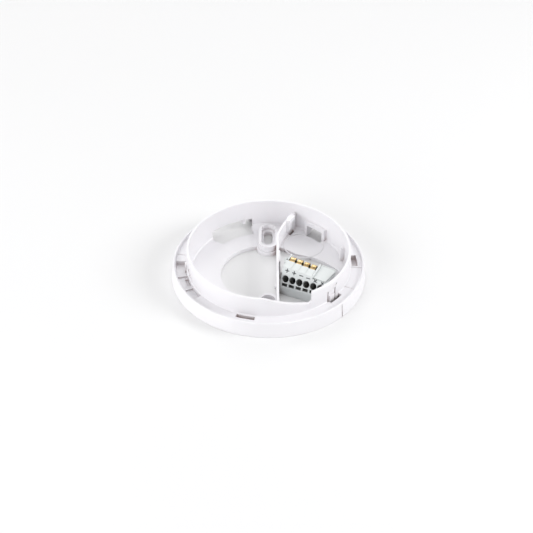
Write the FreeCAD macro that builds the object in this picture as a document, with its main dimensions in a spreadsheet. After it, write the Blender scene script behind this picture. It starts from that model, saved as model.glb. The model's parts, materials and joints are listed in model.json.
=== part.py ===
"""Mounting base of a ceiling smoke detector: a moulded base plate with its plug-in terminal block.

The base lies with its wall side down.  Origin: centre of the wall side.  +X to the right, +Y to the
back slot, +Z away from the ceiling plate, towards the detector head.  Millimetres and degrees.
"""
import FreeCAD, Part
import math
import os
import Sketcher

Vector = FreeCAD.Vector
Rotation = FreeCAD.Rotation
Placement = FreeCAD.Placement

# Driving sizes: one sheet cell each.
CELLS = {
    "skirt_radius": 58.5,        # foot of the outer skirt
    "skirt_top_radius": 57.6,    # the skirt leans in by its draft
    "skirt_height": 9.6,
    "lip_width": 1.5,
    "skirt_inner_radius": 55.4,
    "shelf_top": 7.6,            # ring-shaped shelf between skirt and ring wall
    "shelf_underside": 5.6,
    "ring_radius": 49.1,         # outside of the tall ring wall
    "ring_height": 20.4,
    "ring_inner_top": 47.4,
    "ring_inner_foot": 47.0,
    "floor_top": 2.5,
    "opening_radius": 27.1,      # large round cable opening
    "opening_x": -1.8,
    "opening_y": -3.0,
    "boss_width": 12.2,          # raised collar round each screw slot
    "boss_height": 6.2,
    "recess_width": 8.2,
    "recess_floor": 2.9,
    "slot_width": 5.3,
    "slot_length": 13.5,
    "slot_x": -0.25,
    "back_slot_y": 32.25,
    "front_slot_y": -35.0,
    "partition_height": 14.0,
    "partition_wall": 1.4,
    "knockout_radius": 12.5,
    "knockout_depth": 0.4,
    "channel_floor": 5.3,
    "row_angle": -25.5,          # the terminal row is turned about Z
    "pole_pitch": 4.45,
    "row_start": 14.55,          # first pole, measured along the row
    "face_front": -14.2,         # foot of the sloping wire face, measured across the row
    "face_top_height": 17.0,
    "block_back": 2.3,
    "deck_height": 18.1,         # contact deck of the first pole
    "deck_drop": 0.3,            # each pole's deck is this much lower than the one before
    "low_deck_height": 14.6,     # deck under the end cover
    "wire_hole_radius": 2.05,
    "wire_hole_depth": 6.0,
    "wire_hole_tilt": 48.0,      # the bores slope more steeply than the face is laid back
    "trough_depth": 3.2,
    "cavity_width": 3.3,
    "strip_width": 3.1,
    "strip_thickness": 0.32,
    "cover_top": 15.2,
}
POLES = 6
CONTACT_POLES = 4

document = FreeCAD.newDocument("detector_base")
sheet = document.addObject("Spreadsheet::Sheet", "Sizes")
for row, (alias, number) in enumerate(CELLS.items(), start=1):
    sheet.set("A%d" % row, alias)
    sheet.set("B%d" % row, str(number))
    sheet.setAlias("B%d" % row, alias)
document.recompute()


class Dim(float):
    """A number that remembers the sheet expression it comes from."""

    def __new__(cls, value, text):
        """Make the number and keep its expression."""
        number = float.__new__(cls, value)
        number.text = text
        return number

    @staticmethod
    def text_of(value):
        """Give the expression of a size, or a plain number as text."""
        return value.text if isinstance(value, Dim) else "%.6f" % value

    def _join(self, value, left, sign, right):
        return Dim(value, "(%s %s %s)" % (Dim.text_of(left), sign, Dim.text_of(right)))

    def __add__(self, other):
        return self._join(float(self) + float(other), self, "+", other)

    def __radd__(self, other):
        return self._join(float(other) + float(self), other, "+", self)

    def __sub__(self, other):
        return self._join(float(self) - float(other), self, "-", other)

    def __rsub__(self, other):
        return self._join(float(other) - float(self), other, "-", self)

    def __mul__(self, other):
        return self._join(float(self) * float(other), self, "*", other)

    def __rmul__(self, other):
        return self._join(float(other) * float(self), other, "*", self)

    def __truediv__(self, other):
        return self._join(float(self) / float(other), self, "/", other)

    def __neg__(self):
        return Dim(-float(self), "(-%s)" % self.text)


class Sizes:
    """The sheet's cells, read as named sizes."""

    def __getattr__(self, alias):
        """Read one cell by its alias."""
        return Dim(float(sheet.get(alias)), "Sizes." + alias)


size = Sizes()


def bind(item, prop, value):
    """Set a property and tie it to the sheet where the value comes from there."""
    setattr(item, prop, float(value))
    if isinstance(value, Dim):
        item.setExpression(prop, value.text)


def polar(radius, angle):
    """Point on a circle about the origin, as sketch coordinates."""
    turn = math.radians(angle)
    return (radius * math.cos(turn), radius * math.sin(turn))


class Arc:
    """A rounded stretch of an outline: through one point to another."""

    def __init__(self, through, end):
        """Keep the two points."""
        self.through = through
        self.end = end


def flat(point):
    """Turn a pair of sizes into a plain vector."""
    return Vector(float(point[0]), float(point[1]), 0)


def same(first, second):
    """Say whether two vectors are the same point."""
    return first.distanceToPoint(second) < 1e-5


def round_edge(start, through, end):
    """Arc of a circle through three points, always running counter-clockwise about +Z."""
    curve = Part.Arc(start, through, end).toShape().Curve
    centre = curve.Center
    first = math.atan2(start.y - centre.y, start.x - centre.x)
    last = math.atan2(end.y - centre.y, end.x - centre.x)
    turn = (through - start).cross(end - through).z
    if turn < 0:
        first, last = last, first
    if last < first:
        last += 2 * math.pi
    circle = Part.Circle(Vector(centre.x, centre.y, 0), Vector(0, 0, 1), curve.Radius)
    return Part.ArcOfCircle(circle, first, last)


def draw(sketch, path):
    """Draw a closed outline of points and arcs, and tie its points to the sheet."""
    here = path[0]
    ends = []
    steps = list(path[1:])
    if not isinstance(steps[-1], Arc) or not same(flat(steps[-1].end), flat(here)):
        steps.append(here)
    for step in steps:
        goal = step.end if isinstance(step, Arc) else step
        if isinstance(step, Arc):
            edge = round_edge(flat(here), flat(step.through), flat(goal))
        else:
            edge = Part.LineSegment(flat(here), flat(goal))
        index = sketch.addGeometry(edge, False)
        forward = same(sketch.Geometry[index].StartPoint, flat(here))
        ends.append((index, 1 if forward else 2, 2 if forward else 1, here))
        here = goal
    for place, (index, start, _end, corner) in enumerate(ends):
        before, _start, finish, _corner = ends[place - 1]
        sketch.addConstraint(Sketcher.Constraint("Coincident", before, finish, index, start))
        for kind, value in (("DistanceX", corner[0]), ("DistanceY", corner[1])):
            if isinstance(value, Dim):
                number = sketch.addConstraint(Sketcher.Constraint(kind, -1, 1, index, start, float(value)))
                sketch.setExpression("Constraints[%d]" % number, value.text)


def ring(sketch, centre, radius):
    """Draw a circle with its centre and radius tied to the sheet."""
    circle = Part.Circle(flat(centre), Vector(0, 0, 1), float(radius))
    index = sketch.addGeometry(circle, False)
    for kind, value in (("DistanceX", centre[0]), ("DistanceY", centre[1])):
        if isinstance(value, Dim):
            number = sketch.addConstraint(Sketcher.Constraint(kind, -1, 1, index, 3, float(value)))
            sketch.setExpression("Constraints[%d]" % number, value.text)
    number = sketch.addConstraint(Sketcher.Constraint("Radius", index, float(radius)))
    if isinstance(radius, Dim):
        sketch.setExpression("Constraints[%d]" % number, radius.text)


def sector(inner, outer, low, high):
    """Outline of a piece of a ring between two angles."""
    middle = 0.5 * (low + high)
    return [
        polar(inner, low),
        polar(outer, low),
        Arc(polar(outer, middle), polar(outer, high)),
        polar(inner, high),
        Arc(polar(inner, middle), polar(inner, low)),
    ]


def obround(x, low, high, width):
    """Outline of a long hole along Y, from its lowest to its highest point."""
    half = 0.5 * width
    return [
        (x + half, low + half),
        (x + half, high - half),
        Arc((x, high), (x - half, high - half)),
        (x - half, low + half),
        Arc((x, low), (x + half, low + half)),
    ]


def strip(points, thickness):
    """Outline of a bent strip of even thickness along a line of points."""
    left, right = [], []
    for place, (x, y) in enumerate(points):
        before = points[max(place - 1, 0)]
        after = points[min(place + 1, len(points) - 1)]
        first = Vector(x - before[0], y - before[1], 0)
        second = Vector(after[0] - x, after[1] - y, 0)
        first = first.normalize() if first.Length else Vector(second).normalize()
        second = second.normalize() if second.Length else Vector(first)
        mean = (first + second).normalize()
        half = 0.5 * thickness / max(mean.dot(first), 0.3)
        left.append((x - mean.y * half, y + mean.x * half))
        right.append((x + mean.y * half, y - mean.x * half))
    return left + right[::-1]


class Piece:
    """One sub-part: a body with its own features."""

    def __init__(self, label, placement=None):
        """Start an empty body."""
        self.body = document.addObject("PartDesign::Body", "Body_" + label)
        self.body.Label = label
        self.placement = placement

    def sketch(self, name, plane, offset, paths, tilt=None):
        """Draw outlines on one of the body's own planes, moved along its normal."""
        item = self.body.newObject("Sketcher::SketchObject", name)
        support = [f for f in self.body.Origin.OriginFeatures if f.Role == plane][0]
        item.AttachmentSupport = [(support, "")]
        item.MapMode = "FlatFace"
        if tilt is None:
            item.AttachmentOffset = Placement(Vector(0, 0, float(offset)), Rotation())
            if isinstance(offset, Dim):
                item.setExpression("AttachmentOffset.Base.z", offset.text)
        else:
            item.AttachmentOffset = tilt
        for path in paths:
            if isinstance(path, tuple):
                ring(item, *path)
            else:
                draw(item, path)
        return item

    def _feature(self, kind, name, profile, length, backwards):
        item = self.body.newObject(kind, name)
        item.Profile = profile
        profile.Visibility = False
        bind(item, "Length", length)
        item.Reversed = backwards
        document.recompute()
        return item

    def pad(self, name, paths, low, length, plane="XY_Plane", tilt=None, backwards=False):
        """Add material: outlines pushed up from a height."""
        profile = self.sketch(name + "_outline", plane, low, paths, tilt)
        return self._feature("PartDesign::Pad", name, profile, length, backwards)

    def cut(self, name, paths, top, depth, plane="XY_Plane", tilt=None, backwards=False):
        """Take material away: outlines pushed down from a height."""
        before = self.body.Shape.Volume
        profile = self.sketch(name + "_outline", plane, top, paths, tilt)
        item = self._feature("PartDesign::Pocket", name, profile, depth, backwards)
        if self.body.Shape.Volume > before - 1e-3:
            raise RuntimeError("%s cuts nothing: %s" % (name, item.State))
        return item

    def revolve(self, name, path):
        """Turn an outline drawn in radius and height about the Z axis."""
        profile = self.sketch(name + "_outline", "XZ_Plane", 0.0, [path])
        item = self.body.newObject("PartDesign::Revolution", name)
        item.Profile = profile
        item.ReferenceAxis = (profile, ["V_Axis"])
        item.Angle = 360.0
        document.recompute()
        return item

    def finish(self):
        """Put the body in its place."""
        if self.placement is not None:
            self.body.Placement = self.placement
        return self.body


WINDOW_TOP = 7.4        # top of the left cable window
FRAME_WINDOW_TOP = 7.8  # top of the framed cable window
FRAME_TOP = 10.4        # top of the raised frame round it
WEB_TOP = 7.3           # top of the webs beside the windows
TOOTH_FOOT = 4.2        # underside of the small tooth in the left window
POCKET_TOP = 6.9        # hollows in the shelf's edge behind the left window
POCKET_DEPTH = 1.6
ENTRY_RADIUS = 53.2     # the flange is open from here outwards behind both windows
SLOT_FLOOR = 4.3        # floor of the closed bayonet slots
MARK_RADIUS = 48.5      # floor of the shallow marks outside the ring wall
HOOK_FOOT = 6.8         # the hook post hangs clear of the floor slit
HOOK_CAP = 12.2         # underside of its wider head
HOOK_TOP = 14.8
REST_TOP = 4.6          # lug at the right end of the terminal block
LATCH_FOOT = 1.8        # lug at its left end and foot of the latch
LATCH_TOP = 11.6
RIB_FOOT = 0.6          # the stiffening ribs stop short of the ceiling
CELL_WALL = 1.2         # floor and roof of the hollow in a terminal pole
RELEASE_DEPTH = 7.0
LOCK_ANGLES = (-45.2, -39.0)
TONGUE_SIDE = 1.1       # width of the slit on each side of the lock tongue, in degrees
RIDGE_END = 0.9         # the tall part of the row ends this far into the fifth pole


def ring_profile():
    """Half section of the plain turned shape: floor, ring wall, shelf and skirt."""
    lip_inner = size.skirt_top_radius - size.lip_width
    rim = 0.6
    return [
        (0.0, 0.0),
        (size.ring_radius, 0.0),
        (size.ring_radius, size.shelf_underside),
        (size.skirt_inner_radius, size.shelf_underside),
        (size.skirt_inner_radius, 0.0),
        (size.skirt_radius, 0.0),
        (size.skirt_top_radius, size.skirt_height - rim),
        Arc((size.skirt_top_radius - 0.2, size.skirt_height - 0.18),
            (size.skirt_top_radius - rim, size.skirt_height)),
        (lip_inner + 0.3, size.skirt_height),
        (lip_inner, size.skirt_height - 0.3),
        (lip_inner - 0.2, size.shelf_top),
        (size.ring_radius + 0.5, size.shelf_top),
        (size.ring_radius, size.shelf_top + 0.5),
        (size.ring_radius, size.ring_height - 0.4),
        (size.ring_radius - 0.4, size.ring_height),
        (size.ring_inner_top + 0.4, size.ring_height),
        (size.ring_inner_top, size.ring_height - 0.4),
        (size.ring_inner_foot + 0.05, size.floor_top + 0.8),
        (size.ring_inner_foot - 0.8, size.floor_top),
        (0.0, size.floor_top),
    ]


def crossing(centre, radius, outer):
    """Where a circle about a centre leaves a larger circle about the origin, on the right side."""
    distance = math.hypot(*centre)
    along = (outer ** 2 - radius ** 2 + distance ** 2) / (2 * distance)
    across = math.sqrt(outer ** 2 - along ** 2)
    ux, uy = centre[0] / distance, centre[1] / distance
    return (along * ux - across * uy, along * uy + across * ux)


def terminal_opening():
    """Outline of the floor opening that holds the terminal block."""
    centre, radius, outer, left = (5.9, -27.3), 45.3, 45.9, 6.1
    start = (left, centre[1] + math.sqrt(radius ** 2 - (left - centre[0]) ** 2))
    corner = crossing(centre, radius, outer)
    first = math.atan2(start[1] - centre[1], start[0] - centre[0])
    last = math.atan2(corner[1] - centre[1], corner[0] - centre[0])
    half = 0.5 * (first + last)
    foot = (left, -math.sqrt(outer ** 2 - left ** 2))
    side = 0.5 * (math.atan2(corner[1], corner[0]) + math.atan2(foot[1], foot[0]))
    return [
        start,
        Arc((centre[0] + radius * math.cos(half), centre[1] + radius * math.sin(half)), corner),
        Arc((outer * math.cos(side), outer * math.sin(side)), foot),
    ]


def slot_outline(centre_y, length, width):
    """Outline of a long hole about one screw slot's centre."""
    return obround(size.slot_x, centre_y - length / 2, centre_y + length / 2, width)


def bosses(shell):
    """Raised collars, recesses and through slots for the two fixing screws."""
    back = obround(size.slot_x, 18.0, 42.0, size.boss_width)
    front = obround(size.slot_x, -46.9, -26.1, size.boss_width)
    foot = obround(size.slot_x, 16.9, 43.0, size.boss_width + 2.4)
    shell.pad("slot_pad", [foot], 0.0, size.floor_top)
    shell.pad("slot_collars", [back, front], 0.0, size.boss_height)
    recesses = [
        obround(size.slot_x, 20.0, 41.4, size.recess_width),
        obround(size.slot_x, -44.2, -27.9, size.recess_width),
    ]
    shell.cut("slot_recesses", recesses, size.boss_height, size.boss_height - size.recess_floor)
    slots = [
        slot_outline(size.back_slot_y, size.slot_length, size.slot_width),
        slot_outline(size.front_slot_y, size.slot_length, size.slot_width),
    ]
    shell.cut("screw_slots", slots, size.recess_floor, size.recess_floor)


def partition(shell):
    """Bent wall between the cable opening and the terminal side, with its hook post and guide rail."""
    middle = float(4.7 + size.partition_wall / 2)
    line = [(16.4, 43.9), (12.0, 37.7), (9.15, 31.3), (7.1, 26.0), (middle, 20.0), (middle, -47.2)]
    shell.pad("partition_wall", [strip(line, float(size.partition_wall))], 0.0, size.partition_height)
    post = [(10.2, 33.0), (12.6, 33.5), (14.7, 38.6), (13.9, 41.4), (11.5, 38.1)]
    shell.pad("hook_post", [post], HOOK_FOOT, HOOK_TOP - 1.0 - HOOK_FOOT)
    head = [(10.6, 33.6), (13.1, 34.0), (16.35, 39.0), (14.6, 42.6), (11.6, 38.3)]
    shell.pad("hook_head", [head], HOOK_CAP, HOOK_TOP - HOOK_CAP)
    rail = [(5.9, -4.6), (7.0, -4.6), (7.0, 5.6), (5.9, 5.6)]
    shell.pad("guide_rail", [rail], 0.0, size.partition_height - 1.2)
    web = [(5.6, 7.6), (6.9, 7.6), (6.9, 8.8), (5.6, 8.8)]
    shell.pad("guide_web", [web], 0.0, size.partition_height - 3.0)


def on_row(along, across):
    """Point of the terminal row, as base coordinates."""
    turn = math.radians(float(size.row_angle))
    x = along * math.cos(turn) - across * math.sin(turn)
    y = along * math.sin(turn) + across * math.cos(turn)
    return (x, y)


def block_rests(shell):
    """Lugs that the terminal block sits between, and the foot of its latch."""
    right = [on_row(42.7, -5.5), on_row(46.6, -5.5), on_row(46.6, -1.5), on_row(42.7, -1.5)]
    left = [on_row(9.5, -11.6), on_row(13.7, -11.6), on_row(13.7, -8.8), on_row(8.6, -8.8)]
    latch_foot = [(5.8, -14.4), (8.3, -14.4), (8.3, -9.6), (5.8, -9.6)]
    shell.pad("right_rest", [right], 0.0, REST_TOP)
    shell.pad("left_rest", [left], 0.0, LATCH_FOOT)
    shell.pad("latch_foot", [latch_foot], 0.0, LATCH_FOOT)


def windows(shell):
    """Two cable windows through the ring wall and floor; the right one has a raised frame."""
    shell.pad("window_frame", [sector(45.0, 47.8, 40.4, 60.0)], 0.0, FRAME_TOP)
    cover_floor = [
        polar(37.9, 104.4),
        Arc(polar(37.9, 120.5), polar(38.3, 136.6)),
        polar(40.2, 138.7),
        polar(46.6, 139.6),
        Arc(polar(46.6, 122.0), polar(46.6, 104.0)),
    ]
    shell.cut("left_floor_window", [cover_floor], size.floor_top, size.floor_top)
    shell.cut("left_wall_window", [sector(45.9, 49.3, 102.7, 137.9)], WINDOW_TOP, WINDOW_TOP)
    shell.cut("right_floor_window", [sector(42.8, 45.6, 42.0, 57.0)], size.floor_top, size.floor_top)
    shell.cut("right_wall_window", [sector(44.4, 49.3, 43.0, 57.6)], FRAME_WINDOW_TOP, FRAME_WINDOW_TOP)
    webs = [sector(48.6, 55.8, 57.6, 59.4), sector(48.6, 55.8, 41.2, 43.0)]
    shell.pad("window_webs", webs, 0.0, WEB_TOP)
    shell.pad("window_tooth", [sector(47.3, 50.4, 108.3, 110.4)], TOOTH_FOOT, WEB_TOP - TOOTH_FOOT)
    pockets = [sector(48.7, 53.0, 103.3, 108.0), sector(48.7, 51.6, 110.8, 126.0)]
    shell.cut("window_pockets", pockets, POCKET_TOP, POCKET_DEPTH)
    entries = [sector(ENTRY_RADIUS, 59.6, 103.4, 137.2), sector(ENTRY_RADIUS, 59.6, 43.6, 57.0)]
    above = size.skirt_height + 1
    shell.cut("cable_entries", entries, above, above)


def shelf_features(shell):
    """Bayonet slots, deep channel and small ribs of the ring-shaped shelf."""
    floors = [
        sector(48.9, 55.8, -182.0, -141.5),
        sector(48.9, 55.8, -3.2, 10.8),
        sector(48.9, 55.8, -112.2, -97.6),
    ]
    shell.pad("slot_floors", floors, SLOT_FLOOR - 1.0, size.shelf_underside + 0.3 - (SLOT_FLOOR - 1.0))
    above = size.shelf_top + 1
    shell.cut("channel", [sector(49.6, 55.7, -181.5, -142.0)], above, above - size.channel_floor)
    top = size.shelf_top + 0.4
    slots = [sector(50.0, 53.5, -2.0, 9.6), sector(49.9, 52.6, -111.0, -98.8)]
    shell.cut("bayonet_slots", slots, top, top - SLOT_FLOOR)
    shell.cut("left_slot", [sector(49.4, 51.4, -165.0, -157.8)], top, top - (size.channel_floor - 0.8))
    shell.cut("lock_slot", [sector(49.3, 51.4, -45.2, -34.0)], top, top)
    bars = [
        sector(48.8, 56.2, -3.6, -2.5),
        sector(48.8, 56.2, -25.6, -24.9),
        sector(48.8, 56.2, 170.6, 171.4),
        sector(48.8, 56.2, 177.6, 178.5),
    ]
    shell.pad("shelf_bars", bars, size.shelf_underside, 2.25)


def ring_details(shell):
    """Rim ramp, bayonet marks and the tongue gap of the tall ring wall, and the rib inside it."""
    slope = 0.302
    start, end = -3.3, 24.3
    drop = slope * (end - start)
    top = size.ring_height
    round_foot = 1.5
    foot = top - drop
    ramp = [
        (start, top),
        (end - round_foot, foot + slope * round_foot),
        Arc((end - 0.5, foot + 0.9), (end, foot + round_foot + 0.6)),
        (end, top + 1.0),
        (start, top + 1.0),
    ]
    shell.cut("rim_ramp", [ramp], 20.0, 40.0, plane="XZ_Plane", backwards=True)
    rib = [(44.7, -1.05), (48.0, -1.05), (48.0, 1.05), (44.7, 1.05)]
    turned = []
    for x, y in rib:
        radius, angle = math.hypot(x, y), math.degrees(math.atan2(y, x))
        turned.append(polar(radius, angle + 13.6))
    shell.pad("inner_rib", [turned], 0.0, 12.0)
    shell.cut("entry_mark", [sector(MARK_RADIUS, 49.8, -167.0, -162.0)], 14.2, 3.8)
    shell.cut("stop_mark", [sector(MARK_RADIUS, 49.8, -162.6, -156.6)], 15.2, 5.8)
    shell.pad("mark_tab", [sector(48.9, 50.3, -176.5, -173.0)], size.channel_floor, 5.6)
    low, high = LOCK_ANGLES
    shell.cut("tongue_gap", [sector(46.5, 49.8, low - TONGUE_SIDE, high + TONGUE_SIDE)], 14.6, 14.6 - 5.0)
    shell.cut("lock_mark", [sector(48.7, 49.8, -42.0, -36.5)], 17.2, 1.5)
    shell.cut("index_mark", [sector(57.45, 59.0, -43.1, -42.5)], 9.0, 9.0)


def floor_details(shell):
    """Break-out disc with its grooves, and the slit in the pocket behind the partition."""
    knockout = (21.6, 25.0)
    shell.cut("knockout_recess", [(knockout, size.knockout_radius)], size.floor_top, size.knockout_depth)
    shell.pad("knockout_line", [(knockout, size.knockout_radius), (knockout, size.knockout_radius - 0.5)],
              size.floor_top - 0.6, 0.75)
    shell.cut("knockout_groove", [(knockout, size.knockout_radius), (knockout, size.knockout_radius - 0.8)],
              0.0, 0.7, backwards=True)
    drain = [(16.3, 39.7), (15.0, 41.1), (12.4, 36.6), (13.8, 35.4)]
    shell.cut("floor_slit", [drain], size.floor_top, size.floor_top)


def skirt_ribs(shell):
    """Stiffening ribs between ring wall and skirt."""
    ribs = []
    for angle in (14, 24, 34, 72, 90, 146, 160, 176, 192, 206, 220, 236, 246, 266, 284, 300, 312, 330, 346):
        ribs.append(sector(48.6, 55.9, angle - 0.6, angle + 0.6))
    shell.pad("skirt_ribs", ribs, RIB_FOOT, size.shelf_underside)


def base_shell():
    """The whole moulded base plate."""
    shell = Piece("base_shell")
    shell.revolve("turned_shape", ring_profile())
    shell.cut("cable_opening", [((size.opening_x, size.opening_y), size.opening_radius)],
              size.floor_top, size.floor_top)
    shell.cut("terminal_opening", [terminal_opening()], size.floor_top, size.floor_top)
    floor_details(shell)
    bosses(shell)
    partition(shell)
    block_rests(shell)
    windows(shell)
    shelf_features(shell)
    ring_details(shell)
    skirt_ribs(shell)
    return shell.finish()


ROW = Placement(Vector(0, 0, 0), Rotation(Vector(0, 0, 1), float(size.row_angle)))


def pole_left(index):
    """Where a pole begins, along the row."""
    return size.row_start + size.pole_pitch * index


def deck_top(index):
    """Height of a pole's contact deck."""
    return size.deck_height - size.deck_drop * index


def face_foot(index):
    """Height of the lower edge of a pole's sloping wire face."""
    return 5.4 + 0.2 * index


def face_top(index):
    """Upper edge of a pole's wire face, across the row and in height."""
    return (-9.4 - 0.2 * index, size.face_top_height - 0.25 * index)


def face_angle(index):
    """Slope of a pole's wire face above the horizontal."""
    across, height = face_top(index)
    return math.degrees(math.atan2(height - face_foot(index), across - size.face_front))


def on_face(index, distance):
    """Point on a pole's wire face, at a distance up from its lower edge."""
    slope = math.radians(face_angle(index))
    across = float(size.face_front) + distance * math.cos(slope)
    return (across, face_foot(index) + distance * math.sin(slope))


def tall_outline(index):
    """Cross-section of a pole that carries a contact."""
    return [
        (size.face_front, 0.0),
        (size.block_back, 0.0),
        (size.block_back, deck_top(index)),
        face_top(index),
        (size.face_front, face_foot(index)),
    ]


def low_outline(index):
    """Cross-section of a pole that lies under the end cover."""
    slope = math.tan(math.radians(face_angle(index)))
    edge = size.face_front + (size.low_deck_height - face_foot(index)) / slope
    return [
        (size.face_front, 0.0),
        (size.block_back, 0.0),
        (size.block_back, size.low_deck_height),
        (float(edge), size.low_deck_height),
        (size.face_front, face_foot(index)),
    ]


def wire_hole_distance(index):
    """How far up the face the wire hole's centre lies."""
    return 5.5 - 0.04 * index


def trough_front(index):
    """Front wall of the trough that a contact lies in, across the row."""
    return -3.7 - 0.15 * min(index, CONTACT_POLES - 1)


def cavity_outline(index):
    """Hollow inside a pole, from the end of the wire hole to the contact."""
    tilt = math.radians(size.wire_hole_tilt)
    centre = on_face(index, wire_hole_distance(index))
    depth = float(size.wire_hole_depth)
    end = (centre[0] + depth * math.sin(tilt), centre[1] - depth * math.cos(tilt))
    reach = 1.9
    low = (end[0] - reach * math.cos(tilt), end[1] - reach * math.sin(tilt))
    high = (end[0] + reach * math.cos(tilt), end[1] + reach * math.sin(tilt))
    roof = float(deck_top(index)) + 1 if index < CONTACT_POLES else float(size.low_deck_height) - CELL_WALL
    floor, back, shoulder = CELL_WALL, 1.1, 11.0
    front = trough_front(index) + 0.3
    return [low, (-5.0, floor), (back, floor), (back, roof), (front, roof), (front, shoulder), high]


def pole_housing(index):
    """Grey housing of one pole with its wire hole, release slot and inner cavity."""
    piece = Piece("pole_housing_%d" % (index + 1), ROW)
    left = pole_left(index)
    tall = index < CONTACT_POLES
    outline = tall_outline(index) if tall else low_outline(index)
    piece.pad("housing", [outline], left, size.pole_pitch, plane="YZ_Plane")
    if index == CONTACT_POLES:
        piece.pad("ridge_end", [tall_outline(index)], left, RIDGE_END, plane="YZ_Plane")
    if tall:
        top = deck_top(index)
        low = top - size.trough_depth
        front, back = trough_front(index), size.block_back + 0.5
        trough = [(front, low), (back, low), (back, top + 1), (front, top + 1)]
        piece.cut("trough", [trough], left, size.pole_pitch, plane="YZ_Plane", backwards=True)
    side = (size.pole_pitch - size.cavity_width) / 2
    piece.cut("cavity", [cavity_outline(index)], left + side, size.cavity_width,
              plane="YZ_Plane", backwards=True)
    middle = float(left + size.pole_pitch / 2)
    across, height = on_face(index, wire_hole_distance(index))
    # The sketch plane stands clear of the face, so that the bore is whole where it leaves it.
    stand_off = 1.5
    tilt = math.radians(size.wire_hole_tilt)
    mouth = Vector(middle, across - stand_off * math.sin(tilt), height + stand_off * math.cos(tilt))
    bore = Placement(mouth, Rotation(Vector(1, 0, 0), float(size.wire_hole_tilt)))
    piece.cut("wire_hole", [((0.0, 0.0), size.wire_hole_radius)], 0.0, size.wire_hole_depth + stand_off,
              tilt=bore)
    across, height = on_face(index, 1.72)
    face = Placement(Vector(middle, across, height), Rotation(Vector(1, 0, 0), face_angle(index)))
    wide, tall_side = 1.7, 0.95
    slot = [(-wide, -tall_side), (wide, -tall_side), (wide, tall_side), (-wide, tall_side)]
    piece.cut("release_slot", [slot], 0.0, RELEASE_DEPTH, tilt=face)
    return piece.finish()


def end_plate_left():
    """Thin plate that closes the left end of the row, with its eared lug."""
    piece = Piece("terminal_end_left", ROW)
    piece.pad("plate", [tall_outline(0)], size.row_start - 0.7, 0.7, plane="YZ_Plane")
    ear = [(12.0, -3.6), (14.2, -4.2), (14.2, 1.5), (11.2, 1.2), (10.8, -1.0)]
    piece.pad("ear", [ear], 13.8, 1.8)
    piece.cut("ear_hole", [((12.7, -0.6), 0.6)], 15.6, 1.6)
    return piece.finish()


def end_plate_right():
    """Plate that closes the right end of the row."""
    piece = Piece("terminal_end_right", ROW)
    piece.pad("plate", [low_outline(POLES - 1)], pole_left(POLES), 1.3, plane="YZ_Plane")
    return piece.finish()


def end_cover():
    """Flat cover over the last two poles, with a raised edge at its back and right."""
    piece = Piece("terminal_cover", ROW)
    left = pole_left(CONTACT_POLES) + RIDGE_END
    front_left, front_right = (left, -9.2), (41.3, -9.7)
    corner_right, corner_back, back_left = (42.9, 1.9), (42.1, 2.9), (left, 3.9)
    plan = [front_left, front_right, corner_right, corner_back, back_left]
    piece.pad("plate", [plan], size.low_deck_height, size.cover_top - size.low_deck_height)
    inner = [(left, 3.3), (41.8, 2.3), (42.3, 1.6), (40.7, -9.5)]
    edge = inner + [front_right, corner_right, corner_back, back_left]
    piece.pad("raised_edge", [edge], size.cover_top - 0.2, 0.4)
    return piece.finish()


def conductor(index):
    """Bent brass bracket that joins a wire clamp to its contact."""
    piece = Piece("conductor_%d" % (index + 1), ROW)
    top = 11.0 if index < CONTACT_POLES else 10.6
    line = [(-4.7, 1.45), (0.88, 1.45), (0.88, top)]
    inset = (size.pole_pitch - size.strip_width) / 2
    outline = strip(line, float(size.strip_thickness))
    piece.pad("bracket", [outline], pole_left(index) + inset, size.strip_width, plane="YZ_Plane")
    return piece.finish()


def wire_spring(index):
    """Steel leaf that presses the wire against the conductor."""
    piece = Piece("wire_spring_%d" % (index + 1), ROW)
    line = [(-0.25, 8.6), (-1.2, 8.2), (-3.3, 5.6), (-3.6, 4.9)]
    inset = (size.pole_pitch - 2.6) / 2
    piece.pad("leaf", [strip(line, 0.28)], pole_left(index) + inset, 2.6, plane="YZ_Plane")
    return piece.finish()


def contact_spring(index):
    """Gilded arch that the detector head's contact slides onto, with its round dimple."""
    piece = Piece("contact_spring_%d" % (index + 1), ROW)
    top = float(deck_top(index))
    reach = 0.15 * index
    line = [
        (0.46, 9.6),
        (0.46, top - 1.3),
        (0.15, top - 0.55),
        (-0.55, top - 0.25),
        (-1.9, top - 0.45),
        (-3.0 - reach, top - 0.85),
        (-3.35 - reach, top - 1.3),
        (-3.38 - reach, top - 2.1),
    ]
    inset = (size.pole_pitch - size.strip_width) / 2
    outline = strip(line, float(size.strip_thickness))
    piece.pad("arch", [outline], pole_left(index) + inset, size.strip_width, plane="YZ_Plane")
    middle = float(pole_left(index) + size.pole_pitch / 2)
    piece.pad("dimple", [((middle, -1.3), 0.7)], top - 0.4, 0.35)
    return piece.finish()


def lock_tongue():
    """Springy catch in the ring wall: it hangs from its top edge and snaps into the detector head."""
    piece = Piece("lock_tongue")
    low, high = LOCK_ANGLES
    gap = 0.12
    piece.pad("tongue", [sector(47.35, 49.05, low, high)], 5.2, 14.6 - gap - 5.2)
    piece.pad("catch", [sector(48.9, 49.75, low + 0.6, high - 0.6)], 7.9, 3.2)
    return piece.finish()


def terminal_latch():
    """Springy finger beside the partition that holds the terminal block down."""
    piece = Piece("terminal_latch")
    finger = [(7.0, -14.2), (8.0, -14.2), (8.0, -9.8), (7.0, -9.8)]
    foot = LATCH_FOOT + 0.1
    piece.pad("finger", [finger], foot, LATCH_TOP - foot)
    hook = [(7.0, -14.2), (8.6, -13.8), (8.6, -10.2), (7.0, -9.8)]
    piece.pad("hook", [hook], LATCH_TOP - 1.2, 1.6)
    return piece.finish()


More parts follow.
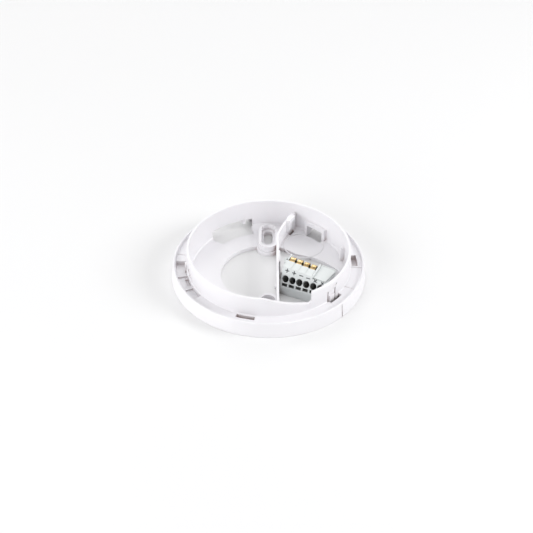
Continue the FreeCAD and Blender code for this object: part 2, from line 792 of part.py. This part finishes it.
def build():
    """Make every sub-part, check it and write it out."""
    pieces = [base_shell(), end_plate_left(), end_plate_right(), end_cover(), lock_tongue(), terminal_latch()]
    for index in range(POLES):
        pieces.append(pole_housing(index))
        pieces.append(conductor(index))
        pieces.append(wire_spring(index))
    for index in range(CONTACT_POLES):
        pieces.append(contact_spring(index))
    document.recompute()
    for item in document.Objects:
        if "Invalid" in item.State or "Error" in item.State:
            raise RuntimeError("%s failed: %s" % (item.Name, item.State))
    os.makedirs("parts", exist_ok=True)
    for body in pieces:
        shape = body.Shape
        if shape.isNull() or not shape.isValid() or not shape.Solids:
            raise RuntimeError("%s has no sound solid" % body.Label)
        print("%-22s solids %d volume %.1f" % (body.Label, len(shape.Solids), shape.Volume))
        shape.exportStep("parts/%s.step" % body.Label)


build()
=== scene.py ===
"""Looks of the smoke detector's mounting base: white moulded shell, grey terminal block, gilded contacts.

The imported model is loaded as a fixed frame.  Its shapes stay; this file gives them their finishes, adds the
small pieces that the frame leaves plain, and sets the table, the light and the camera.  Metres throughout.
"""

import json
import logging
import math
from dataclasses import dataclass, field
from enum import Enum

import bmesh
import bpy
from mathutils import Matrix, Vector

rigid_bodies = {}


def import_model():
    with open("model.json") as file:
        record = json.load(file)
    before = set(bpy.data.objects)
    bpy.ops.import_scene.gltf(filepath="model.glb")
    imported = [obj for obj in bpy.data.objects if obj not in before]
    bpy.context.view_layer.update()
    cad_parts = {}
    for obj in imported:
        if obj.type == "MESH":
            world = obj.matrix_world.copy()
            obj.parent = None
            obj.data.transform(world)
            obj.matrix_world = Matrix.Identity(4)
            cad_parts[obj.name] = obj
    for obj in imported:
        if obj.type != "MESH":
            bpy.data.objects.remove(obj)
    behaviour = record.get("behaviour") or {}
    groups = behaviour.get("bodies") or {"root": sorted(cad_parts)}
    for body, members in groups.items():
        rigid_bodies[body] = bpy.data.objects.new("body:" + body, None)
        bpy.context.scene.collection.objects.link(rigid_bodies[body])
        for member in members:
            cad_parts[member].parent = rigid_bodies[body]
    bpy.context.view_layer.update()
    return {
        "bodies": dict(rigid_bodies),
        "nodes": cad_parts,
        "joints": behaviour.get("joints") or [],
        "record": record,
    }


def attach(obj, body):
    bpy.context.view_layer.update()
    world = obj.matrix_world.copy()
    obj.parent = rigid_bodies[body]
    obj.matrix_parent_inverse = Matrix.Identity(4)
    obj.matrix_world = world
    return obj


log = logging.getLogger("detector_base")

MM = 0.001
MICRON = 0.000001

Colour = tuple[float, float, float]


# ---------------------------------------------------------------------------------------------------------
# Shader maths
# ---------------------------------------------------------------------------------------------------------


class Wire:
    """One shader output, which can be added, taken away and multiplied like a number."""

    def __init__(self, book: "NodeBook", socket: bpy.types.NodeSocket) -> None:
        """Keep the book of nodes and the output.

        Args:
            book: the book of nodes that the output belongs to.
            socket: the output itself.
        """
        self.book = book
        self.socket = socket

    def _math(self, operation: str, *values: "Wire | float") -> "Wire":
        """Add a Math node.

        Args:
            operation: the Math node's operation.
            values: its inputs, in order.

        Returns:
            The node's result.
        """
        inputs = {index: value for index, value in enumerate(values)}
        return self.book.node("ShaderNodeMath", {"operation": operation}, inputs)[0]

    def __add__(self, other: "Wire | float") -> "Wire":
        """Add a value.

        Args:
            other: what is added.

        Returns:
            The sum.
        """
        return self._math("ADD", self, other)

    def __radd__(self, other: float) -> "Wire":
        """Add to a number on the left.

        Args:
            other: the number on the left.

        Returns:
            The sum.
        """
        return self._math("ADD", other, self)

    def __sub__(self, other: "Wire | float") -> "Wire":
        """Take a value away.

        Args:
            other: what is taken away.

        Returns:
            The difference.
        """
        return self._math("SUBTRACT", self, other)

    def __rsub__(self, other: float) -> "Wire":
        """Take this away from a number on the left.

        Args:
            other: the number on the left.

        Returns:
            The difference.
        """
        return self._math("SUBTRACT", other, self)

    def __mul__(self, other: "Wire | float") -> "Wire":
        """Multiply by a value.

        Args:
            other: the other factor.

        Returns:
            The product.
        """
        return self._math("MULTIPLY", self, other)

    def __rmul__(self, other: float) -> "Wire":
        """Multiply with a number on the left.

        Args:
            other: the number on the left.

        Returns:
            The product.
        """
        return self._math("MULTIPLY", other, self)

    def clamped(self) -> "Wire":
        """Hold the value between 0 and 1.

        Returns:
            The held value.
        """
        return self._math("MINIMUM", self._math("MAXIMUM", self, 0.0), 1.0)


class NodeBook:
    """The nodes of one material."""

    def __init__(self, material: bpy.types.Material) -> None:
        """Start with a bare Principled shader on the output.

        Args:
            material: the material to fill.
        """
        material.use_nodes = True
        self.tree = material.node_tree
        self.tree.nodes.clear()
        output = self.tree.nodes.new("ShaderNodeOutputMaterial")
        self.shader = self.tree.nodes.new("ShaderNodeBsdfPrincipled")
        self.tree.links.new(self.shader.outputs[0], output.inputs["Surface"])

    def node(self, kind: str, settings: dict, inputs: dict) -> list[Wire]:
        """Add one node.

        Args:
            kind: the node's type.
            settings: its own settings, set before anything is linked.
            inputs: values or wires by socket name or number.

        Returns:
            The node's outputs, in order.
        """
        made = self.tree.nodes.new(kind)
        for name, value in settings.items():
            setattr(made, name, value)
        for name, value in inputs.items():
            self.plug(made.inputs[name], value)
        return [Wire(self, socket) for socket in made.outputs]

    def plug(self, socket: bpy.types.NodeSocket, value: "Wire | float | tuple") -> None:
        """Set an input to a value or link it to an output.

        Args:
            socket: the input.
            value: what it gets.
        """
        if isinstance(value, Wire):
            self.tree.links.new(value.socket, socket)
        else:
            socket.default_value = value

    def finish(self, **inputs: "Wire | float | tuple") -> None:
        """Give the shader's own inputs their values or wires.

        Args:
            inputs: values or wires by the input's name, with a low line for each space.
        """
        for name, value in inputs.items():
            self.plug(self.shader.inputs[name.replace("_", " ")], value)

    def place(self) -> Wire:
        """Give the position on the object.

        Returns:
            The position, in metres.
        """
        outputs = self.node("ShaderNodeTexCoord", {}, {})
        return next(wire for wire in outputs if wire.socket.name == "Object")

    def noise(self, scale: float, detail: float = 2.0, roughness: float = 0.5) -> Wire:
        """Soft random variation.

        Args:
            scale: how many times it changes in a metre.
            detail: how many finer layers it has.
            roughness: how strong the finer layers are.

        Returns:
            A value about 0.5.
        """
        inputs = {"Vector": self.place(), "Scale": scale, "Detail": detail, "Roughness": roughness}
        return self.node("ShaderNodeTexNoise", {}, inputs)[0]

    def blend(self, factor: "Wire | float", first: "Wire | tuple", second: "Wire | tuple") -> Wire:
        """Blend two colours.

        Args:
            factor: how much of the second one shows.
            first: the colour below.
            second: the colour above.

        Returns:
            The blended colour.
        """
        # A Mix node has its factor at 0 and its colours at 6 and 7, and gives the colour at 2.
        inputs = {0: factor, 6: first, 7: second}
        return self.node("ShaderNodeMix", {"data_type": "RGBA"}, inputs)[2]

    def bump(self, height: Wire, depth: float, strength: float, normal: Wire) -> Wire:
        """Relief from a height.

        Args:
            height: the height, about 0 to 1.
            depth: how deep a height of 1 is, in metres.
            strength: how much of it shows.
            normal: a surface direction that the relief is added to.

        Returns:
            The changed surface direction.
        """
        inputs = {"Height": height, "Distance": depth, "Strength": strength, "Normal": normal}
        return self.node("ShaderNodeBump", {}, inputs)[0]

    def crease(self, reach: float) -> Wire:
        """Show how deep in a crease a point lies, as a mask for painted shade.

        Args:
            reach: how far away other surfaces count, in metres.

        Returns:
            From 0 in the open to 1 deep in a narrow gap.
        """
        open_air = self.node("ShaderNodeAmbientOcclusion", {"samples": 8}, {"Distance": reach})[1]
        contrast, threshold = 2.2, 1.0
        return ((1.0 - open_air) * contrast - threshold).clamped()

    def soft_edges(self, radius: float) -> Wire:
        """Round the edges in the shading.

        Args:
            radius: the edges' radius, in metres.

        Returns:
            The changed surface direction.
        """
        return self.node("ShaderNodeBevel", {"samples": 6}, {"Radius": radius})[0]


def opaque(colour: Colour, lightness: float = 1.0) -> tuple[float, ...]:
    """Make a colour fit for a shader input.

    Args:
        colour: red, green and blue.
        lightness: what each of them is multiplied by.

    Returns:
        Red, green and blue, held at 1, with an alpha of 1.
    """
    return tuple(min(1.0, lightness * part) for part in colour) + (1.0,)


@dataclass(frozen=True)
class MouldedPlastic:
    """Satin injection-moulded plastic with a spark-eroded grain, slight flow marks and painted shade in
    creases.
    """

    name: str
    colour: Colour
    roughness: float
    edge: float = 0.3 * MM
    depth_glow: float = 0.0
    glow_radius: Colour = (1.1 * MM, 1.0 * MM, 1.0 * MM)
    # Colour of the painted shade in creases and gaps.
    crease_shade_colour: Colour = (0.5, 0.42, 0.41)
    crease_reach: float = 6.0 * MM
    cloud_scale: float = 22.0
    flow_scale: float = 140.0
    cloud_share: float = 0.65
    darkest: float = 0.955
    lightest: float = 1.012
    gloss_spread: float = 0.1
    swell_scale: float = 60.0
    swell_depth: float = 120.0 * MICRON
    swell_strength: float = 0.35
    pore_scale: float = 9000.0
    pore_depth: float = 10.0 * MICRON
    pore_strength: float = 0.6

    def material(self) -> bpy.types.Material:
        """Build the material.

        Returns:
            The finished material.
        """
        made = bpy.data.materials.new(self.name)
        book = NodeBook(made)
        clouds = book.noise(self.cloud_scale, detail=3.0)
        flow = book.noise(self.flow_scale, detail=4.0, roughness=0.6)
        tone = (self.cloud_share * clouds + (1.0 - self.cloud_share) * flow).clamped()
        moulded = book.blend(tone, opaque(self.colour, self.darkest), opaque(self.colour, self.lightest))
        # Painted shade: in creases and gaps, where shade falls, the colour turns towards the crease shade
        # colour.
        crease_shaded = book.blend(book.crease(self.crease_reach), moulded, opaque(self.crease_shade_colour))
        rough = (self.roughness - self.gloss_spread / 2) + self.gloss_spread * flow
        swell = book.noise(self.swell_scale, detail=1.0)
        pores = book.noise(self.pore_scale, detail=2.0, roughness=0.7)
        coarse = book.bump(swell, self.swell_depth, self.swell_strength, book.soft_edges(self.edge))
        grained = book.bump(pores, self.pore_depth, self.pore_strength, coarse)
        book.finish(Base_Color=crease_shaded, Roughness=rough, Normal=grained, IOR=1.5)
        if self.depth_glow:
            book.finish(Subsurface_Weight=self.depth_glow, Subsurface_Radius=self.glow_radius,
                        Subsurface_Scale=1.0)
        return made


@dataclass(frozen=True)
class PolishedMetal:
    """Rolled or plated strip metal with faint rolling lines and painted shade in creases."""

    name: str
    bright: Colour
    dull: Colour
    roughness: float
    edge: float = 0.12 * MM
    # Painted shade: the lightness and reach of the darkening in creases and gaps.
    crease_shade_lightness: float = 0.22
    crease_shade_reach: float = 4.0 * MM
    stain_scale: float = 420.0
    stain_contrast: float = 1.6
    stain_gloss: float = 0.14
    clean_gloss: float = 0.06
    line_scale: float = 5200.0
    line_depth: float = 4.0 * MICRON
    line_strength: float = 0.5

    def material(self) -> bpy.types.Material:
        """Build the material.

        Returns:
            The finished material.
        """
        made = bpy.data.materials.new(self.name)
        book = NodeBook(made)
        stain = book.noise(self.stain_scale, detail=3.0, roughness=0.6)
        lines = book.noise(self.line_scale, detail=2.0, roughness=0.6)
        shine = (stain * self.stain_contrast - (self.stain_contrast - 1.0) / 2).clamped()
        clean = book.blend(shine, opaque(self.dull), opaque(self.bright))
        # Painted shade: in creases and gaps, where shade falls, the metal darkens towards its dull colour.
        colour = book.blend(book.crease(self.crease_shade_reach), clean, opaque(self.dull, self.crease_shade_lightness))
        rough = (self.roughness - self.clean_gloss) + self.stain_gloss * stain
        rolled = book.bump(lines, self.line_depth, self.line_strength, book.soft_edges(self.edge))
        book.finish(Base_Color=colour, Metallic=1.0, Roughness=rough, Normal=rolled)
        return made


@dataclass(frozen=True)
class PrintedInk:
    """Dark pad-printed ink, slightly uneven."""

    name: str
    colour: Colour = (0.03, 0.032, 0.035)
    patch_scale: float = 3000.0
    thin_lightness: float = 2.6
    roughness: float = 0.45
    gloss_spread: float = 0.2

    def material(self) -> bpy.types.Material:
        """Build the material.

        Returns:
            The finished material.
        """
        made = bpy.data.materials.new(self.name)
        book = NodeBook(made)
        patches = book.noise(self.patch_scale, detail=3.0)
        colour = book.blend(patches, opaque(self.colour), opaque(self.colour, self.thin_lightness))
        book.finish(Base_Color=colour, Roughness=self.roughness + self.gloss_spread * patches)
        return made


@dataclass(frozen=True)
class TableTop:
    """Plain pale table with a matt top, a little darker in narrow gaps."""

    name: str = "table_top"
    colour: Colour = (0.84, 0.84, 0.843)
    shaded: Colour = (0.52, 0.52, 0.515)
    shade_reach: float = 12.0 * MM
    cloud_scale: float = 6.0
    darkest: float = 0.99

    def material(self) -> bpy.types.Material:
        """Build the material.

        Returns:
            The finished material.
        """
        made = bpy.data.materials.new(self.name)
        book = NodeBook(made)
        clouds = book.noise(self.cloud_scale)
        even = book.blend(clouds, opaque(self.colour, self.darkest), opaque(self.colour))
        colour = book.blend(book.crease(self.shade_reach), even, opaque(self.shaded))
        book.finish(Base_Color=colour, Roughness=0.9, Specular_IOR_Level=0.1)
        return made


class Finish(Enum):
    """The finishes of this object, by the record's slot where it has one."""

    WHITE = MouldedPlastic("white_plastic", (0.85, 0.84, 0.865), roughness=0.4, depth_glow=0.1)
    GREY = MouldedPlastic("grey_plastic", (0.69, 0.72, 0.718), roughness=0.36, edge=0.2 * MM,
                          crease_shade_colour=(0.2, 0.19, 0.18))
    GOLD = PolishedMetal("gilded_contact", (0.86, 0.66, 0.36), (0.4, 0.26, 0.11), roughness=0.24)
    BRASS = PolishedMetal("brass", (0.83, 0.64, 0.3), (0.6, 0.42, 0.18), roughness=0.3)
    STEEL = PolishedMetal("spring_steel", (0.66, 0.66, 0.67), (0.45, 0.45, 0.47), roughness=0.3)
    INK = PrintedInk("printed_ink")
    TABLE = TableTop()


class Paints:
    """Makes each finish's material once."""

    def __init__(self) -> None:
        """Start with none made."""
        self._made: dict[str, bpy.types.Material] = {}

    def of(self, finish: Finish) -> bpy.types.Material:
        """Give a finish's material.

        Args:
            finish: the finish.

        Returns:
            Its material.
        """
        if finish.name not in self._made:
            self._made[finish.name] = finish.value.material()
        return self._made[finish.name]

    def coat(self, piece: bpy.types.Object, finish: Finish) -> None:
        """Put one finish all over a piece.

        Args:
            piece: the object.
            finish: its finish.
        """
        piece.data.materials.clear()
        piece.data.materials.append(self.of(finish))


def new_piece(name: str, mesh: bmesh.types.BMesh) -> bpy.types.Object:
    """Turn a built mesh into an object in the scene.

    Args:
        name: the piece's name.
        mesh: the built mesh, freed here.

    Returns:
        The new object.
    """
    bmesh.ops.recalc_face_normals(mesh, faces=mesh.faces)
    data = bpy.data.meshes.new(name)
    mesh.to_mesh(data)
    mesh.free()
    made = bpy.data.objects.new(name, data)
    bpy.context.scene.collection.objects.link(made)
    return made


@dataclass
class Row:
    """The slanting line of the terminal block: u along it, v across it, z up."""

    angle: float = math.radians(-25.5)
    start: float = 14.55 * MM
    pitch: float = 4.45 * MM

    def point(self, along: float, across: float, height: float) -> Vector:
        """Give a point of the row in the object's frame.

        Args:
            along: distance along the row.
            across: distance across it.
            height: height over the wall side.

        Returns:
            The point, in metres.
        """
        turn = Matrix.Rotation(self.angle, 3, "Z")
        return turn @ Vector((along, across, height))

    def middle(self, pole: int) -> float:
        """Give the middle of a pole.

        Args:
            pole: which pole, from 0.

        Returns:
            Its distance along the row.
        """
        return self.start + self.pitch * (pole + 0.5)


@dataclass
class BaseShell:
    """White moulding: skirt, shelf, ring wall, floor, collars and partition."""

    nodes: tuple[str, ...] = ("base_shell", "lock_tongue", "terminal_latch")

    def dress(self, frame: dict, paints: Paints) -> None:
        """Give the white parts their finish.

        Args:
            frame: the loaded frame.
            paints: the finishes.
        """
        for name in self.nodes:
            paints.coat(frame["nodes"][name], Finish.WHITE)
            log.info("dressed %s", name)


@dataclass
class TerminalBlock:
    """Grey block of six poles with its end plates, cover and printed marks."""

    row: Row = field(default_factory=Row)
    face_front: float = -14.2 * MM
    foot_height: float = 5.4 * MM
    foot_rise: float = 0.2 * MM
    top_across: float = -9.4 * MM
    top_shift: float = -0.2 * MM
    top_height: float = 17.0 * MM
    top_drop: float = 0.25 * MM
    marks: str = "++--xx"
    mark_up: float = 10.65 * MM
    mark_drop: float = 0.44 * MM
    mark_side: float = 0.15 * MM
    mark_spread: float = 0.13 * MM
    mark_size: float = 2.7 * MM
    mark_stroke: float = 0.55 * MM
    mark_thickness: float = 0.05 * MM
    end_steps: int = 8
    mark_layers: tuple[tuple[float, float], ...] = ((-0.4, 1.0), (0.6, 1.0), (1.0, 0.93))

    def dress(self, frame: dict, paints: Paints) -> None:
        """Give the grey parts and the metal in them their finish.

        Args:
            frame: the loaded frame.
            paints: the finishes.
        """
        coats = {
            "pole_housing": Finish.GREY,
            "terminal_end": Finish.GREY,
            "terminal_cover": Finish.GREY,
            "conductor": Finish.BRASS,
            "wire_spring": Finish.STEEL,
            "contact_spring": Finish.GOLD,
        }
        for name, node in frame["nodes"].items():
            for start, finish in coats.items():
                if name.startswith(start):
                    paints.coat(node, finish)
                    log.info("dressed %s", name)

    def face_foot(self, pole: int) -> float:
        """Give the height of the lower edge of a pole's sloping face.

        Args:
            pole: which pole, from 0.

        Returns:
            The height.
        """
        return self.foot_height + self.foot_rise * pole

    def face_slope(self, pole: int) -> float:
        """Give the angle of a pole's sloping face above the horizontal.

        Args:
            pole: which pole, from 0.

        Returns:
            The angle, in radians.
        """
        run = self.top_across + self.top_shift * pole - self.face_front
        return math.atan2(self.top_height - self.top_drop * pole - self.face_foot(pole), run)

    def face_point(self, pole: int, side: float, up: float, proud: float) -> Vector:
        """Point on a pole's sloping face.

        Args:
            pole: which pole, from 0.
            side: distance along the row from the pole's middle.
            up: distance up the slope from its lower edge.
            proud: distance out of the face.

        Returns:
            The point in the object's frame.
        """
        slope = self.face_slope(pole)
        across = self.face_front + up * math.cos(slope) - proud * math.sin(slope)
        height = self.face_foot(pole) + up * math.sin(slope) + proud * math.cos(slope)
        return self.row.point(self.row.middle(pole) + side, across, height)

    def bar(self, mesh: bmesh.types.BMesh, pole: int, turn: float, length: float) -> None:
        """Add one stroke of a printed mark, with rounded ends and a rounded upper edge.

        Args:
            mesh: the mesh that it is added to.
            pole: which pole it stands on.
            turn: the stroke's angle from the row, in radians.
            length: its whole length.
        """
        side = self.mark_side + self.mark_spread * pole
        up = self.mark_up - self.mark_drop * pole
        radius = self.mark_stroke / 2
        half = length / 2 - radius
        outline = []
        for middle, first in ((half, -math.pi / 2), (-half, math.pi / 2)):
            for step in range(self.end_steps + 1):
                angle = first + math.pi * step / self.end_steps
                outline.append(Vector((middle + radius * math.cos(angle), radius * math.sin(angle))))
        rings = []
        for rise, shrink in self.mark_layers:
            ring = []
            for point in outline:
                x, y = point * shrink
                across = side + x * math.cos(turn) - y * math.sin(turn)
                above = up + x * math.sin(turn) + y * math.cos(turn)
                ring.append(mesh.verts.new(self.face_point(pole, across, above, rise * self.mark_thickness)))
            rings.append(ring)
        for lower, upper in zip(rings, rings[1:]):
            for index, point in enumerate(lower):
                after = (index + 1) % len(lower)
                mesh.faces.new((point, lower[after], upper[after], upper[index]))
        mesh.faces.new(rings[-1])
        mesh.faces.new(rings[0][::-1])

    def print_marks(self, paints: Paints) -> None:
        """Print the plus, minus and cross marks above the wire holes.

        Args:
            paints: the finishes.
        """
        strokes = {"+": (0.0, math.pi / 2), "-": (0.0,), "x": (math.pi / 4, -math.pi / 4)}
        for pole, mark in enumerate(self.marks):
            mesh = bmesh.new()
            for turn in strokes[mark]:
                self.bar(mesh, pole, turn, self.mark_size)
            piece = new_piece("mark_%d" % (pole + 1), mesh)
            paints.coat(piece, Finish.INK)
            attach(piece, "base")
            log.info("printed %s", piece.name)


@dataclass
class Studio:
    """Table, light and camera."""

    camera_place: tuple[float, float, float] = (-0.00126, -0.5467, 0.4372)
    view_line: tuple[float, float, float] = (0.0, 0.78467, -0.61992)
    roll: float = math.radians(0.385)
    lens: float = 77.98
    sensor: float = 36.0
    table_half: float = 3.0
    table_gap: float = 0.02 * MM
    air_strength: float = 0.5
    lamp_distance: float = 1.1
    # Each soft light: name, direction from +X and height in degrees, side length and power.
    lamps: tuple[tuple[str, float, float, float, float], ...] = (
        ("key_light", -8.0, 30.0, 0.45, 6.2),
        ("front_light", -135.0, 22.0, 0.6, 4.9),
        ("left_light", 175.0, 22.0, 0.6, 2.9),
        ("back_light", 95.0, 40.0, 0.6, 2.6),
        ("top_light", -90.0, 82.0, 0.7, 1.3),
    )

    def table(self, paints: Paints) -> None:
        """Lay the table that the base stands on.

        Args:
            paints: the finishes.
        """
        mesh = bmesh.new()
        bmesh.ops.create_grid(mesh, x_segments=8, y_segments=8, size=self.table_half)
        floor = new_piece("table", mesh)
        floor.location = (0.0, 0.0, -self.table_gap)
        paints.coat(floor, Finish.TABLE)

    def lamp(self, name: str, around: float, above: float, width: float, power: float) -> None:
        """Add one soft light that faces the object.

        Args:
            name: its name.
            around: its direction about the upright axis from +X, in degrees.
            above: its height over the table, in degrees.
            width: its side length.
            power: its power in watts.
        """
        data = bpy.data.lights.new(name, "AREA")
        data.size = width
        data.energy = power
        lamp = bpy.data.objects.new(name, data)
        turn = Matrix.Rotation(math.radians(around), 3, "Z") @ Matrix.Rotation(math.radians(-above), 3, "Y")
        place = turn @ Vector((self.lamp_distance, 0.0, 0.0))
        lamp.location = place
        lamp.rotation_euler = (-place).to_track_quat("-Z", "Y").to_euler()
        bpy.context.scene.collection.objects.link(lamp)

    def light(self) -> None:
        """Set the soft studio light."""
        world = bpy.data.worlds.new("studio_air")
        world.use_nodes = True
        air = world.node_tree.nodes["Background"]
        air.inputs["Color"].default_value = (1.0, 1.0, 1.0, 1.0)
        air.inputs["Strength"].default_value = self.air_strength
        bpy.context.scene.world = world
        for name, around, above, width, power in self.lamps:
            self.lamp(name, around, above, width, power)

    def camera(self) -> None:
        """Set the camera, and show tones as they are."""
        data = bpy.data.cameras.new("camera")
        data.lens = self.lens
        data.sensor_width = self.sensor
        made = bpy.data.objects.new("camera", data)
        look = Vector(self.view_line).to_track_quat("-Z", "Y")
        made.rotation_mode = "QUATERNION"
        made.rotation_quaternion = look @ Matrix.Rotation(self.roll, 4, "Z").to_quaternion()
        made.location = self.camera_place
        bpy.context.scene.collection.objects.link(made)
        bpy.context.scene.camera = made
        bpy.context.scene.view_settings.view_transform = "Standard"


def main() -> None:
    """Load the frame, dress it and set the scene."""
    logging.basicConfig(level=logging.INFO, format="%(name)s: %(message)s")
    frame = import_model()
    paints = Paints()
    BaseShell().dress(frame, paints)
    block = TerminalBlock()
    block.dress(frame, paints)
    block.print_marks(paints)
    studio = Studio()
    studio.table(paints)
    studio.light()
    studio.camera()
    log.info("set the table, the light and the camera")


if __name__ == "__main__":
    main()
